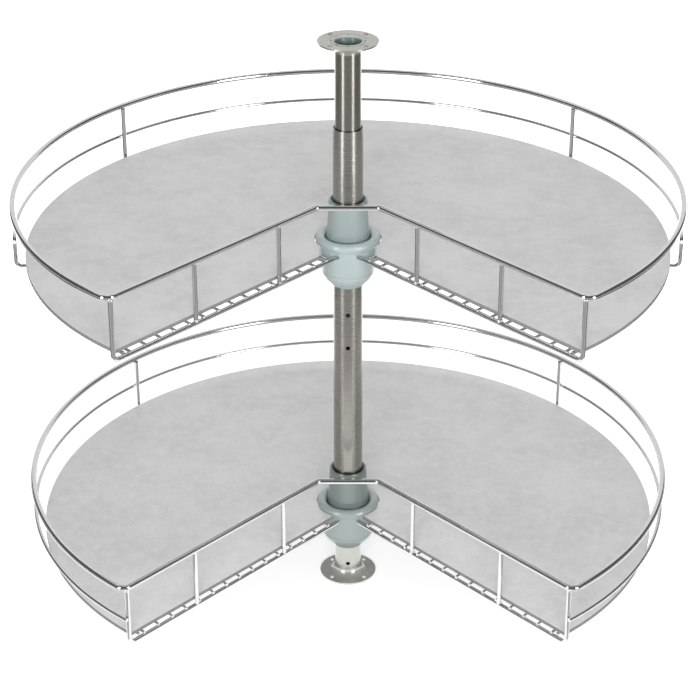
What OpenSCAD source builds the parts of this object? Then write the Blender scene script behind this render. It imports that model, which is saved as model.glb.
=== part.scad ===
// Corner cabinet carousel: a post between cabinet floor and top that carries two
// three-quarter trays. Each tray turns on its own ball race. Millimetres, +Z up.
// The origin is on the post axis at the underside of the floor flange, and the V
// shaped front opening of both trays faces -Y at rest.

/* [Post] */
// Height over both flanges at rest
total_h = 645; // [600:1:690]
// Outer diameter of the main tube
post_d = 32; // [28:0.5:36]
// Wall of the main tube
post_wall = 1; // [0.8:0.1:1.5]
// Height of the main tube's top end above the upper tray's frame wire
main_above = 136; // [120:1:160]
// Gap round the narrow tube that slides in the main tube
slide_gap = 1; // [0.8:0.1:1.5]
// Wall of the sliding tube and of the foot tube
inner_wall = 1.2; // [0.8:0.1:1.6]
// How far the post can be lengthened from rest
lift_up = 105; // [60:5:110]
// Least length of sliding tube that stays inside the main tube
least_overlap = 60; // [40:5:80]
// Length of the foot tube inside the main tube
foot_overlap = 68; // [40:1:90]
// Diameter of the height holes across the main tube
height_hole_d = 4.8; // [4:0.1:6]
// Distance between two height holes
height_hole_pitch = 40; // [30:1:50]

/* [Flanges] */
// Width of the floor and ceiling flanges outside the main tube
flange_w = 16; // [15:0.5:24]
// Thickness of the flange discs
flange_t = 2; // [1.5:0.1:3]
// Radius of the sweep from flange to tube
flare_r = 9; // [6:0.5:10]
// Distance of the four flange screws from the main tube
screw_out = 10; // [9:0.5:12]
// Diameter of the flange screw holes
screw_hole_d = 4.6; // [4:0.1:5]

/* [Trays] */
// Diameter of a tray over its top rail
tray_d = 710; // [680:5:760]
// Height of the lower tray's frame wire
lower_tray_z = 84; // [80:1:110]
// Distance from the lower to the upper tray
tray_pitch = 330; // [300:1:340]
// Height of the top rail above the frame wire, axis to axis
tray_h = 68; // [62:1:80]
// Slope of the front edges, from the cross direction
front_angle = 47.5; // [44:0.5:52]
// How far the front edges would meet ahead of the post axis
vertex_y = 18; // [15:0.5:21]
// Half width of the straight stretch of rail in front of the post
apex_half = 33; // [28:1:40]
// Bend radius of the top rail
rail_bend = 9; // [7:0.5:14]

/* [Wires] */
// Diameter of the top rail
rail_d = 6.5; // [6:0.1:8]
// Diameter of the frame wires and uprights
wire_d = 5; // [4:0.1:6]
// Diameter of the middle rail and the rim wire under the board
mid_d = 4; // [3:0.1:5]
// Height of the middle rail below the top rail
mid_drop = 36; // [30:1:40]
// Diameter of the floor wires
floor_d = 3; // [2.5:0.1:4]
// Distance between floor wires
floor_pitch = 20; // [16:0.5:25]
// Number of floor wires that reach each front edge
front_wires = 15; // [12:1:15]
// Bend radius of the frame wires and uprights
wire_bend = 7; // [6:0.5:10]
// Distance of the corner upright from the sharp corner of the tray
corner_inset = 4.5; // [3:0.5:8]
// First upright from the corner, upper tray
upper_first = 110; // [90:1:130]
// First upright from the corner, lower tray
lower_first = 96; // [90:1:130]
// Second upright from the corner, both trays
second_upright = 229; // [200:1:240]
// Angle of the outer back uprights from the cross direction
back_angle = 41.7; // [30:0.1:60]
// Angle below the cross direction where the upper middle rail turns down
side_angle = 7.5; // [5:0.5:20]
// Depth that a welded wire sinks into its neighbour
weld = 0.2; // [0.1:0.05:0.3]

/* [Board] */
// Distance of the board's round edge from the outside of the top rail
board_inset = 13; // [11:0.5:20]
// Thickness of the tray board
board_t = 4; // [3:0.5:6]
// Gap between the board's front edges and the sides of the frame wires
edge_gap = 0.5; // [0.5:0.5:6]
// Gap between the board and the hub ring
board_gap = 1.5; // [1:0.5:4]
// How much narrower the upper board's mouth is than its hub hole
mouth_in = 13; // [8:1:20]
// Distance of the rim wire from the board's edge
rim_inset = 12; // [10:0.5:14]

/* [Hub] */
// Wall of the sleeve at its top
sleeve_wall = 4.6; // [4.2:0.1:5.5]
// Wall of the sleeve at its grip
grip_wall = 7; // [6:0.1:8]
// Height of the sleeve above the frame wire
sleeve_h = 55; // [45:1:58]
// Height of the fluted grip
grip_h = 11; // [8:1:20]
// Number of flutes on the upper sleeve's grip
flutes = 36; // [24:1:48]
// Wall of the sleeve at its screwed end
thread_wall = 4; // [3:0.1:4.5]
// Distance of the hub ring's rim from the main tube
ring_w = 19; // [18:0.5:22]
// Height of the hub ring's top above the frame wire
ring_top = 11; // [9.5:0.5:13]
// Depth of the hub ring's skirt below the frame wire
ring_skirt = 6.5; // [6:0.1:8]
// Wall of the hub ring's skirt
ring_wall = 3.7; // [3:0.1:5]
// Distance of the socket's wall from the main tube, below the ring
socket_w = 12; // [11.5:0.5:14]
// Height of the socket's straight wall
socket_h = 20; // [19:0.5:24]
// Height of the stop collar's cone
cone_h = 17; // [14:0.5:22]
// Diameter of the bearing balls
ball_d = 5; // [4:0.25:5]
// Number of bearing balls
balls = 14; // [10:1:16]
// Thickness of the race washers
race_t = 1.2; // [1:0.1:1.5]
// Depth of the stop screw below the frame wire
stop_drop = 36; // [32:0.5:38]
// Diameter of the stop screws
stop_screw_d = 6; // [5:0.5:8]

/* [Fits] */
// Radial running clearance of the sleeve on the post
run_gap = 0.08; // [0.05:0.01:0.1]
// Radial clearance of the guides in the telescopic post
guide_gap = 0.06; // [0.05:0.01:0.1]
// Radial clearance of a pressed or screwed part
press_gap = 0.02; // [0.01:0.01:0.05]
// Free gap between turning and fixed plastic parts
free_gap = 0.3; // [0.3:0.05:0.6]
// Play of the balls on the lower race
ball_gap = 0.05; // [0.02:0.01:0.1]

/* [Hidden] */

// Colours of the finishes
STEEL = [0.62, 0.61, 0.57];
CHROME = [0.80, 0.81, 0.82];
PLASTIC = [0.64, 0.71, 0.71];
BOARD = [0.80, 0.80, 0.80];
RACE = [0.70, 0.71, 0.73];

// Facet counts: wires, hub parts, large rings
FN_WIRE = 32;
FN_HUB = 96;
FN_RING = 240;

// Smallest extra length that makes a cut run through
CUT = 1;

// Length by which a straight wire runs into a bend, and how much thinner a bend is
lap = 0.3;
bend_thin = 0.1;

// Trays
upper_tray_z = lower_tray_z + tray_pitch;
rail_r = tray_d / 2 - rail_d / 2;
board_r = tray_d / 2 - board_inset;
rim_r = board_r - rim_inset;
board_q = wire_d / 2 + edge_gap;

// Unit vector along the right front edge, away from the post, and the one square
// to it that points into the tray
along = [cos(front_angle), -sin(front_angle)];
inward = [sin(front_angle), cos(front_angle)];
vertex = [0, -vertex_y];

// Distances of the post axis from the vertex, measured along and square to the edge
axis_along = -vertex_y * sin(front_angle);
axis_inward = vertex_y * cos(front_angle);

// Where a line square to the edge, at distance s from the vertex, leaves a circle
// round the post
function reach(s, r) = axis_inward + sqrt(r * r - pow(s - axis_along, 2));

// Where a line along the edge, at offset q from it, leaves a circle round the post
function edge_reach(q, r) = axis_along + sqrt(r * r - pow(q - axis_inward, 2));

// A point of the right half of the tray from its edge coordinates
function at_edge(s, q) = vertex + along * s + inward * q;

corner_s = edge_reach(0, rail_r);
corner_upright_s = corner_s - corner_inset;
corner_p = at_edge(corner_upright_s, 0);

// Middle rails, and how far inside them the uprights stand
upright_in = (wire_d + mid_d) / 2 - weld;
upper_mid_r = rail_r;
lower_mid_r = norm(corner_p) + upright_in;

// Straight stretch of rail in front of the post
apex_y = -(vertex_y + apex_half * tan(front_angle));

// Heights above the frame wire's axis
floor_z = wire_d / 2 + floor_d / 2 - weld;
board_z = floor_z + floor_d / 2;
rim_z = (wire_d - mid_d) / 2;
mid_z = tray_h - mid_drop;
// Top end of an upright under the rail, where its edge meets the rail's surface
under_rail_z = tray_h - sqrt(pow(rail_d / 2, 2) - pow(wire_d / 2, 2));
// Top end of a back upright, which meets the inner side of the rail
beside_rail_z = tray_h - rail_d / 4;

// Hub
sleeve_top_d = post_d + 2 * sleeve_wall;
sleeve_grip_d = post_d + 2 * grip_wall;
thread_d = post_d + 2 * thread_wall;
ring_d = post_d + 2 * ring_w;
socket_d = post_d + 2 * socket_w;
hub_hole_d = ring_d + 2 * board_gap;
mouth_w = hub_hole_d - mouth_in;
ring_cavity_d = ring_d - 2 * ring_wall;
plate_t = (ring_skirt - wire_d / 2 + weld) / 2;
plate_z = -wire_d / 2 - plate_t + weld;
socket_flange_z = -ring_skirt;
socket_bottom = -ring_skirt - socket_h;
collar_top = socket_bottom - free_gap;
cone_bottom = collar_top - cone_h;
shoulder_z = ring_top - 3.5;
socket_wall = 2.4;
pocket_d = socket_d - 2 * socket_wall;
web_t = 3;

// Ball race, from the collar's boss up to the socket's web
boss_h = 1.6;
fixed_race_z = collar_top + boss_h;
ball_z = fixed_race_z + race_t + ball_gap + ball_d / 2;
turning_race_z = ball_z + ball_d / 2 + ball_gap;
pocket_top = turning_race_z + race_t;
web_top = pocket_top + web_t;
race_out_d = pocket_d - 2 * free_gap;
race_in_d = post_d + 2.4;
ball_circle_d = (race_out_d + race_in_d) / 2;

// Inner end of the frame wires, which stays clear of the sleeve's screwed end, and
// the radius of the wire arcs behind the hub
wire_end_s = edge_reach(0, thread_d / 2 + wire_d + 1);
hub_arc_r = ring_d / 2 + 10;

// Post
flange_d = post_d + 2 * flange_w;
screw_circle_d = post_d + 2 * screw_out;
slide_tube_d = post_d - 2 * post_wall - 2 * slide_gap;
foot_tube_d = post_d - 2 * post_wall - 2 * press_gap;
main_bottom_z = lower_tray_z + cone_bottom + CUT;
main_top_z = upper_tray_z + main_above;
foot_top_z = main_bottom_z + foot_overlap;
slide_bottom_z = main_top_z - least_overlap - lift_up;
slide_bore_d = slide_tube_d - 2 * inner_wall;
bush_h = 24;
neck_h = flange_t + flare_r + 1;
hole_count = 3;
lower_stop_z = lower_tray_z - stop_drop;
upper_stop_z = upper_tray_z - stop_drop;
foot_hole_z = 18;

// ---- helpers -------------------------------------------------------------

// A straight wire from p to q. It runs on by a lap into the bend at an end that
// has one.
module rod(p, q, d, bend_at_p = false, bend_at_q = false) {
    v = q - p;
    len = norm(v);
    before = bend_at_p ? lap : 0;
    after = bend_at_q ? lap : 0;
    translate(p)
        rotate([0, acos(v.z / len), atan2(v.y, v.x)])
            translate([0, 0, -before])
                cylinder(h = before + len + after, d = d, $fn = FN_WIRE);
}

// A wire that follows a large arc round the Z axis, from angle a1 to a2, with the
// same lap at both ends
module arc(r, a1, a2, d, laps = false) {
    more = laps ? lap / r * 180 / PI : 0;
    rotate([0, 0, a1 - more])
        rotate_extrude(angle = a2 - a1 + 2 * more, $fn = FN_RING)
            translate([r, 0])
                circle(d = d, $fn = FN_WIRE);
}

// A tight bend round the Z axis, from angle a1 to a2. The wire is a little thinner
// here, so that the straight ends take it up.
module bend(r, a1, a2, d) {
    rotate([0, 0, a1])
        rotate_extrude(angle = a2 - a1, $fn = FN_HUB)
            translate([r, 0])
                circle(d = d - bend_thin, $fn = FN_WIRE);
}

// Puts something in the frame of the right front edge: X along it, away from the
// post, and Y into the tray
module edge() {
    translate(at_z(vertex, 0))
        rotate([0, 0, -front_angle])
            children();
}

// Both sides of something that is drawn on the right
module both() {
    children();
    mirror([1, 0, 0]) children();
}

// A flat ring with a hole
module washer(d_out, d_in, h) {
    difference() {
        cylinder(h = h, d = d_out, $fn = FN_HUB);
        translate([0, 0, -CUT])
            cylinder(h = h + 2 * CUT, d = d_in, $fn = FN_HUB);
    }
}

function at_z(p, z) = [p.x, p.y, z];

// ---- post ----------------------------------------------------------------

// Flange disc that sweeps into a tube neck, standing on its face at z = 0
module flange(tube_d, bore_d) {
    mouth_r = bore_d / 2 + flare_r;
    neck_r = tube_d / 2;
    sweep_r = flare_r - (neck_r - bore_d / 2);
    difference() {
        rotate_extrude($fn = FN_HUB)
            difference() {
                union() {
                    translate([bore_d / 2, 0])
                        square([flange_d / 2 - bore_d / 2, flange_t]);
                    translate([bore_d / 2, 0])
                        square([neck_r - bore_d / 2, neck_h]);
                    difference() {
                        translate([bore_d / 2, 0])
                            square([neck_r - bore_d / 2 + sweep_r, flange_t + sweep_r]);
                        translate([neck_r + sweep_r, flange_t + sweep_r])
                            circle(r = sweep_r, $fn = 64);
                    }
                }
                difference() {
                    translate([bore_d / 2 - CUT, -CUT])
                        square([flare_r + CUT, flare_r + CUT]);
                    translate([mouth_r, flare_r])
                        circle(r = flare_r, $fn = 64);
                }
            }
        for (a = [45 : 90 : 315])
            rotate([0, 0, a])
                translate([screw_circle_d / 2, 0, -CUT])
                    cylinder(h = flange_t + 2 * CUT, d = screw_hole_d, $fn = FN_WIRE);
    }
}

module floor_flange() {
    color(STEEL)
        flange(foot_tube_d, foot_tube_d - 2 * inner_wall);
}

module foot_tube() {
    color(STEEL)
        difference() {
            translate([0, 0, neck_h])
                washer(foot_tube_d, foot_tube_d - 2 * inner_wall, foot_top_z - neck_h);
            translate([0, 0, foot_hole_z])
                cross_hole(foot_tube_d);
            translate([0, 0, lower_stop_z])
                cross_hole(foot_tube_d);
        }
}

// A hole right through a tube, front to back
module cross_hole(d) {
    rotate([90, 0, 0])
        cylinder(h = d + 2 * CUT, d = height_hole_d, center = true, $fn = FN_WIRE);
}

module main_tube() {
    color(STEEL)
        difference() {
            translate([0, 0, main_bottom_z])
                washer(post_d, post_d - 2 * post_wall, main_top_z - main_bottom_z);
            for (i = [0 : hole_count - 1])
                translate([0, 0, upper_stop_z - i * height_hole_pitch])
                    cross_hole(post_d);
            translate([0, 0, lower_stop_z])
                cross_hole(post_d);
        }
}

// Plastic guide at the top of the main tube, round the sliding tube
module guide_bush() {
    color(PLASTIC)
        translate([0, 0, main_top_z - CUT - bush_h])
            washer(post_d - 2 * post_wall - 2 * press_gap, slide_tube_d + 2 * guide_gap, bush_h);
}

module ceiling_flange() {
    color(STEEL)
        translate([0, 0, total_h])
            mirror([0, 0, 1])
                flange(slide_tube_d, slide_bore_d);
}

module ceiling_tube() {
    color(STEEL)
        translate([0, 0, slide_bottom_z])
            washer(slide_tube_d, slide_bore_d, total_h - neck_h - slide_bottom_z);
}

// Plastic guide on the lower end of the sliding tube
module tube_end_guide() {
    spigot_h = 12;
    collar_h = 4;
    guide_d = post_d - 2 * post_wall - 2 * guide_gap;
    plug_d = slide_bore_d - 2 * press_gap;
    color(PLASTIC)
        translate([0, 0, slide_bottom_z - collar_h])
            difference() {
                union() {
                    cylinder(h = collar_h, d = guide_d, $fn = FN_HUB);
                    cylinder(h = collar_h + spigot_h, d = plug_d, $fn = FN_HUB);
                }
                translate([0, 0, -CUT])
                    cylinder(h = collar_h + spigot_h + 2 * CUT, d = plug_d - 4, $fn = FN_HUB);
            }
}

// Plastic bush in the mouth of the ceiling flange, with a scalloped rim
module mouth_bush() {
    mouth_r = slide_bore_d / 2 + flare_r;
    plug_r = slide_bore_d / 2 - press_gap;
    bowl_r = plug_r - 1.8;
    rim_top = 0.5;
    rim_r = mouth_r - flare_r * 0.44;
    depth = 24;
    scallops = 8;
    color(PLASTIC)
        translate([0, 0, total_h])
            difference() {
                rotate_extrude($fn = FN_HUB)
                    difference() {
                        union() {
                            translate([0, -depth])
                                square([plug_r, depth - rim_top]);
                            translate([0, -flare_r])
                                square([rim_r, flare_r - rim_top]);
                        }
                        translate([mouth_r, -flare_r])
                            circle(r = flare_r + press_gap, $fn = 64);
                        translate([0, -depth + 2.5])
                            square([bowl_r, depth]);
                    }
                for (i = [0 : scallops - 1])
                    rotate([0, 0, (i + 0.5) * 360 / scallops])
                        translate([rim_r + 1.2, 0, -3.5])
                            cylinder(h = 5, r = 3.4, $fn = FN_WIRE);
            }
}

// ---- hub -----------------------------------------------------------------
// Everything below is drawn with the frame wire's axis at z = 0.

// Bowl-shaped collar fixed to the post, which carries the bearing
module stop_collar() {
    foot_r = post_d / 2 + 1.2;
    swell = 0.7;
    color(PLASTIC)
        difference() {
            rotate_extrude($fn = FN_HUB)
                polygon([
                    [post_d / 2 + press_gap, cone_bottom],
                    [foot_r, cone_bottom],
                    [foot_r + (socket_d / 2 - foot_r) * swell, cone_bottom + cone_h / 2],
                    [socket_d / 2, collar_top - cone_h / 6],
                    [socket_d / 2, collar_top],
                    [race_out_d / 2, collar_top],
                    [race_out_d / 2, fixed_race_z],
                    [post_d / 2 + press_gap, fixed_race_z]
                ]);
            translate([0, post_d / 2 - CUT, -stop_drop])
                rotate([-90, 0, 0])
                    cylinder(h = socket_d / 2, d = stop_screw_d + 2 * press_gap, $fn = FN_WIRE);
        }
}

// Set screw at the back of the collar, with a point that enters the post down to
// radius point_r
module stop_screw(point_r) {
    head_r = post_d / 2 + 5;
    shoulder_r = post_d / 2 + 0.1;
    key_depth = 2.5;
    color(RACE)
        translate([0, 0, -stop_drop])
            rotate([-90, 0, 0])
                difference() {
                    union() {
                        translate([0, 0, point_r])
                            cylinder(h = head_r - point_r, d = height_hole_d - 2 * ball_gap, $fn = FN_WIRE);
                        translate([0, 0, shoulder_r])
                            cylinder(h = head_r - shoulder_r, d = stop_screw_d, $fn = FN_WIRE);
                    }
                    translate([0, 0, head_r - key_depth])
                        cylinder(h = key_depth + CUT, d = stop_screw_d / 2, $fn = 6);
                }
}

// Race washer whose lower face is at z
module race(z) {
    color(RACE)
        translate([0, 0, z])
            washer(race_out_d, race_in_d, race_t);
}

module bearing_balls() {
    color(RACE)
        for (i = [0 : balls - 1])
            rotate([0, 0, i * 360 / balls])
                translate([ball_circle_d / 2, 0, ball_z])
                    sphere(d = ball_d, $fn = FN_WIRE);
}

module ball_cage() {
    cage_h = ball_d * 0.6;
    color(PLASTIC)
        translate([0, 0, ball_z - cage_h / 2])
            difference() {
                washer(race_out_d - 1, race_in_d + 1, cage_h);
                for (i = [0 : balls - 1])
                    rotate([0, 0, i * 360 / balls])
                        translate([ball_circle_d / 2, 0, -CUT])
                            cylinder(h = cage_h + 2 * CUT, d = ball_d + 2 * ball_gap, $fn = FN_WIRE);
            }
}

// Cup that turns on the bearing and carries the frame wires
module socket() {
    color(PLASTIC)
        difference() {
            union() {
                translate([0, 0, socket_bottom])
                    cylinder(h = plate_z - socket_bottom, d = socket_d, $fn = FN_HUB);
                translate([0, 0, socket_flange_z])
                    cylinder(h = plate_z - socket_flange_z, d = ring_cavity_d - 2 * press_gap, $fn = FN_HUB);
            }
            translate([0, 0, web_top])
                cylinder(h = plate_z - web_top + CUT, d = thread_d + 2 * press_gap, $fn = FN_HUB);
            translate([0, 0, socket_bottom - CUT])
                cylinder(h = web_top - socket_bottom + 2 * CUT, d = post_d + 2 * free_gap, $fn = FN_HUB);
            translate([0, 0, socket_bottom - CUT])
                cylinder(h = pocket_top - socket_bottom + CUT, d = pocket_d, $fn = FN_HUB);
        }
}

// Steel plate that the frame wires are welded to
module hub_plate() {
    color(STEEL)
        translate([0, 0, plate_z])
            washer(ring_cavity_d - 2 * press_gap, thread_d + 2 * free_gap, plate_t);
}

// Ring that holds the frame wires down on the plate, slotted where they leave it
module hub_ring() {
    round_r = 5;
    slot_w = wire_d + 0.4;
    color(PLASTIC)
        difference() {
            rotate_extrude($fn = FN_HUB)
                difference() {
                    union() {
                        translate([thread_d / 2 + free_gap, -ring_skirt])
                            square([ring_d / 2 - thread_d / 2 - free_gap, ring_skirt + ring_top - round_r]);
                        translate([thread_d / 2 + free_gap, -ring_skirt])
                            square([ring_d / 2 - round_r - thread_d / 2 - free_gap, ring_skirt + ring_top]);
                        translate([ring_d / 2 - round_r, ring_top - round_r])
                            circle(r = round_r, $fn = 64);
                    }
                    translate([0, -ring_skirt - CUT])
                        square([ring_cavity_d / 2, ring_skirt + wire_d / 2 + CUT]);
                    translate([0, shoulder_z])
                        square([sleeve_grip_d / 2 + free_gap, ring_top]);
                }
            both() ring_slot(at_edge(wire_end_s, 0), at_edge(ring_d, 0), slot_w);
            ring_slot([0, ring_cavity_d / 2 - wire_d], [0, ring_d], slot_w);
        }
}

// A slot for a wire from p to q, open to the ring's lower edge
module ring_slot(p, q, w) {
    v = q - p;
    translate([p.x, p.y, 0])
        rotate([0, 0, atan2(v.y, v.x)])
            translate([0, -w / 2, -ring_skirt - CUT])
                cube([norm(v), w, ring_skirt + CUT + wire_d / 2 + press_gap]);
}

// Bearing sleeve that screws into the socket and presses the ring down
module sleeve(fluted) {
    thread_bottom = web_top + free_gap;
    grip_top = shoulder_z + grip_h;
    rim_chamfer = 2.4;
    bore_r = post_d / 2 + run_gap;
    flute_r = 0.5;
    color(PLASTIC)
        difference() {
            rotate_extrude($fn = FN_HUB)
                polygon([
                    [bore_r, thread_bottom],
                    [thread_d / 2, thread_bottom],
                    [thread_d / 2, shoulder_z],
                    [sleeve_grip_d / 2, shoulder_z],
                    [sleeve_grip_d / 2, grip_top],
                    [sleeve_grip_d / 2 - 0.6, grip_top],
                    [sleeve_top_d / 2, sleeve_h - 1],
                    [sleeve_top_d / 2 - 0.7, sleeve_h],
                    [bore_r + rim_chamfer, sleeve_h],
                    [bore_r, sleeve_h - 2 * rim_chamfer]
                ]);
            if (fluted)
                for (i = [0 : flutes - 1])
                    rotate([0, 0, i * 360 / flutes])
                        translate([sleeve_grip_d / 2, 0, ring_top + free_gap])
                            cylinder(h = grip_top - ring_top + CUT, r = flute_r, $fn = 16);
        }
}

// ---- tray ----------------------------------------------------------------

// Closed loop of the top rail: arc, two front edges and the straight apex
module top_rail() {
    bend_s = edge_reach(rail_bend, rail_r - rail_bend);
    bend_c = at_edge(bend_s, rail_bend);
    bend_a = atan2(bend_c.y, bend_c.x);
    apex_t = rail_bend * tan(front_angle / 2);
    apex_s = apex_half / cos(front_angle) + apex_t;
    color(CHROME)
        translate([0, 0, tray_h])
            union() {
                arc(rail_r, bend_a, 180 - bend_a, rail_d, true);
                both()
                    edge() {
                        // corner
                        translate([bend_s, rail_bend, 0])
                            bend(rail_bend, -90, bend_a + front_angle, rail_d);
                        rod([apex_s, 0, 0], [bend_s, 0, 0], rail_d, true, true);
                        // apex
                        translate([apex_s, -rail_bend, 0])
                            bend(rail_bend, 90, 90 + front_angle, rail_d);
                    }
                rod([apex_t - apex_half, apex_y, 0], [apex_half - apex_t, apex_y, 0], rail_d, true, true);
            }
}

// Middle rail whose ends turn down and tuck under the board
module dropped_middle_rail() {
    bend_r = mid_d * 1.5;
    tuck = upper_mid_r - rim_r - mid_d / 2 + weld;
    color(CHROME)
        union() {
            translate([0, 0, mid_z])
                arc(upper_mid_r, -side_angle, 180 + side_angle, mid_d, true);
            both()
                rotate([0, 0, -side_angle])
                    translate([upper_mid_r, -bend_r, 0]) {
                        // down from the rail
                        translate([0, bend_r, mid_z - bend_r])
                            rotate([90, 0, 90])
                                bend(bend_r, 90, 180, mid_d);
                        rod([0, 0, rim_z + bend_r], [0, 0, mid_z - bend_r], mid_d, true, true);
                        // and in under the board
                        translate([-bend_r, 0, rim_z + bend_r])
                            rotate([90, 0, 0])
                                bend(bend_r, -90, 0, mid_d);
                        rod([-tuck, 0, rim_z], [-bend_r, 0, rim_z], mid_d, false, true);
                    }
        }
}

// Middle rail that runs round outside the corner uprights, from one to the other
module full_middle_rail() {
    a = atan2(corner_p.y, corner_p.x) - wire_d / 2 / lower_mid_r * 180 / PI;
    color(CHROME)
        translate([0, 0, mid_z])
            arc(lower_mid_r, a, 180 - a, mid_d);
}

// Frame wire of the right side: front edge, bend and corner upright
module frame_wire() {
    bend_s = corner_upright_s - wire_bend;
    color(CHROME)
        edge() {
            rod([wire_end_s, 0, 0], [bend_s, 0, 0], wire_d, false, true);
            translate([bend_s, 0, wire_bend])
                rotate([90, 0, 0])
                    bend(wire_bend, -90, 0, wire_d);
            rod([corner_upright_s, 0, wire_bend], [corner_upright_s, 0, under_rail_z], wire_d, true);
        }
}

// Uprights on both front edges, at distances from the corner upright
module front_uprights(distances) {
    color(CHROME)
        both()
            edge()
                for (d = distances)
                    translate([corner_upright_s - d, 0, wire_d / 4])
                        cylinder(h = under_rail_z - wire_d / 4, d = wire_d, $fn = FN_WIRE);
}

// Uprights round the back, inside a middle rail of radius mid_r. Their feet bend in
// under the board to the rim wire.
module back_uprights(mid_r) {
    upright_r = mid_r - upright_in;
    foot = upright_r - rim_r - mid_d / 2 + weld;
    color(CHROME)
        for (a = [back_angle, 90, 180 - back_angle])
            rotate([0, 0, a])
                translate([upright_r, 0, 0])
                    union() {
                        rod([0, 0, wire_bend], [0, 0, beside_rail_z], wire_d, true);
                        translate([-wire_bend, 0, wire_bend])
                            rotate([90, 0, 0])
                                bend(wire_bend, -90, 0, wire_d);
                        rod([-foot, 0, 0], [-wire_bend, 0, 0], wire_d, false, true);
                    }
}

// Rim wire under the board, from one frame wire round to the other
module rim_wire() {
    q = wire_d / 2 + mid_d / 2 - weld;
    p = at_edge(edge_reach(q, rim_r), q);
    a = atan2(p.y, p.x);
    color(CHROME)
        translate([0, 0, rim_z])
            arc(rim_r, a, 180 - a, mid_d);
}

// Wire from the hub to the back of the rim
module spine_wire() {
    color(CHROME)
        rod([0, ring_cavity_d / 2 - wire_d, 0], [0, rim_r - mid_d / 2 + weld, 0], wire_d);
}

// Arcs round the back of the hub, from each frame wire to the spine wire
module hub_arcs() {
    q = wire_d - weld;
    p = at_edge(edge_reach(q, hub_arc_r), q);
    a = atan2(p.y, p.x);
    b = 90 - (wire_d - weld) / hub_arc_r * 180 / PI;
    color(CHROME)
        both()
            arc(hub_arc_r, a, b, wire_d);
}

// Floor wires of the right side, square to the front edge. Those that start at the
// edge run to the rim. The others start at the hub arc or at the spine.
module floor_wires() {
    first_s = corner_upright_s - front_wires * floor_pitch;
    last_s = -(rim_r + vertex_y) * sin(front_angle) + floor_pitch / 2;
    back_wires = floor((first_s - last_s) / floor_pitch);
    color(CHROME)
        edge()
            translate([0, 0, floor_z]) {
                for (i = [0 : front_wires - 1])
                    floor_wire(first_s + i * floor_pitch, -wire_d / 4);
                for (i = [1 : back_wires])
                    floor_wire(first_s - i * floor_pitch, inner_q(first_s - i * floor_pitch));
            }
}

// Start of a floor wire behind the hub: at the spine, or at the hub arc if nearer
function inner_q(s) =
    let (spine_q = (floor_d / 2 + lap / 2 - s * cos(front_angle)) / sin(front_angle))
    let (arc_q = abs(s - axis_along) < hub_arc_r ? reach(s, hub_arc_r) - wire_d / 4 : 0)
    max(spine_q, arc_q);

// A floor wire at s along the edge, from q inwards to the rim
module floor_wire(s, q) {
    rod([s, q, 0], [s, reach(s, rim_r + mid_d / 4), 0], floor_d);
}

// Flat tray board with the front opening and the hole for the hub. A mouth of width w
// joins the two, where w is more than 0.
module board(w) {
    far = 2 * board_r;
    edge_p = vertex + inward * board_q;
    front_s = -edge_p.x / cos(front_angle);
    tip = edge_p + along * front_s;
    color(BOARD)
        translate([0, 0, board_z])
            linear_extrude(board_t)
                difference() {
                    circle(r = board_r, $fn = FN_RING);
                    circle(d = hub_hole_d, $fn = FN_HUB);
                    if (w > 0)
                        translate([-w / 2, -far])
                            square([w, far]);
                    polygon([
                        tip,
                        tip + along * far,
                        tip + [-along.x, along.y] * far
                    ]);
                }
}

// ---- nodes ---------------------------------------------------------------

module upper() {
    translate([0, 0, upper_tray_z]) children();
}

module lower() {
    translate([0, 0, lower_tray_z]) children();
}

floor_flange();
foot_tube();
main_tube();
guide_bush();
ceiling_flange();
ceiling_tube();
tube_end_guide();
mouth_bush();

upper() stop_collar();  // upper_stop_collar
upper() stop_screw(post_d / 2 - post_wall);  // upper_stop_screw
upper() race(fixed_race_z);  // upper_fixed_race
upper() board(mouth_w);  // upper_board
upper() top_rail();  // upper_top_rail
upper() dropped_middle_rail();  // upper_middle_rail
upper() frame_wire();  // upper_frame_right
upper() mirror([1, 0, 0]) frame_wire();  // upper_frame_left
upper() front_uprights([upper_first, second_upright]);  // upper_front_uprights
upper() back_uprights(upper_mid_r);  // upper_back_uprights
upper() rim_wire();  // upper_rim_wire
upper() spine_wire();  // upper_spine_wire
upper() hub_arcs();  // upper_hub_arcs
upper() floor_wires();  // upper_floor_wires_right
upper() mirror([1, 0, 0]) floor_wires();  // upper_floor_wires_left
upper() hub_plate();  // upper_hub_plate
upper() hub_ring();  // upper_hub_ring
upper() sleeve(true);  // upper_sleeve
upper() socket();  // upper_socket
upper() race(turning_race_z);  // upper_turning_race
upper() bearing_balls();  // upper_balls
upper() ball_cage();  // upper_ball_cage

lower() stop_collar();  // lower_stop_collar
lower() stop_screw(foot_tube_d / 2 - inner_wall);  // lower_stop_screw
lower() race(fixed_race_z);  // lower_fixed_race
lower() board(0);  // lower_board
lower() top_rail();  // lower_top_rail
lower() full_middle_rail();  // lower_middle_rail
lower() frame_wire();  // lower_frame_right
lower() mirror([1, 0, 0]) frame_wire();  // lower_frame_left
lower() front_uprights([lower_first, second_upright]);  // lower_front_uprights
lower() back_uprights(lower_mid_r);  // lower_back_uprights
lower() rim_wire();  // lower_rim_wire
lower() spine_wire();  // lower_spine_wire
lower() hub_arcs();  // lower_hub_arcs
lower() floor_wires();  // lower_floor_wires_right
lower() mirror([1, 0, 0]) floor_wires();  // lower_floor_wires_left
lower() hub_plate();  // lower_hub_plate
lower() hub_ring();  // lower_hub_ring
lower() sleeve(false);  // lower_sleeve
lower() socket();  // lower_socket
lower() race(turning_race_z);  // lower_turning_race
lower() bearing_balls();  // lower_balls
lower() ball_cage();  // lower_ball_cage
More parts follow.
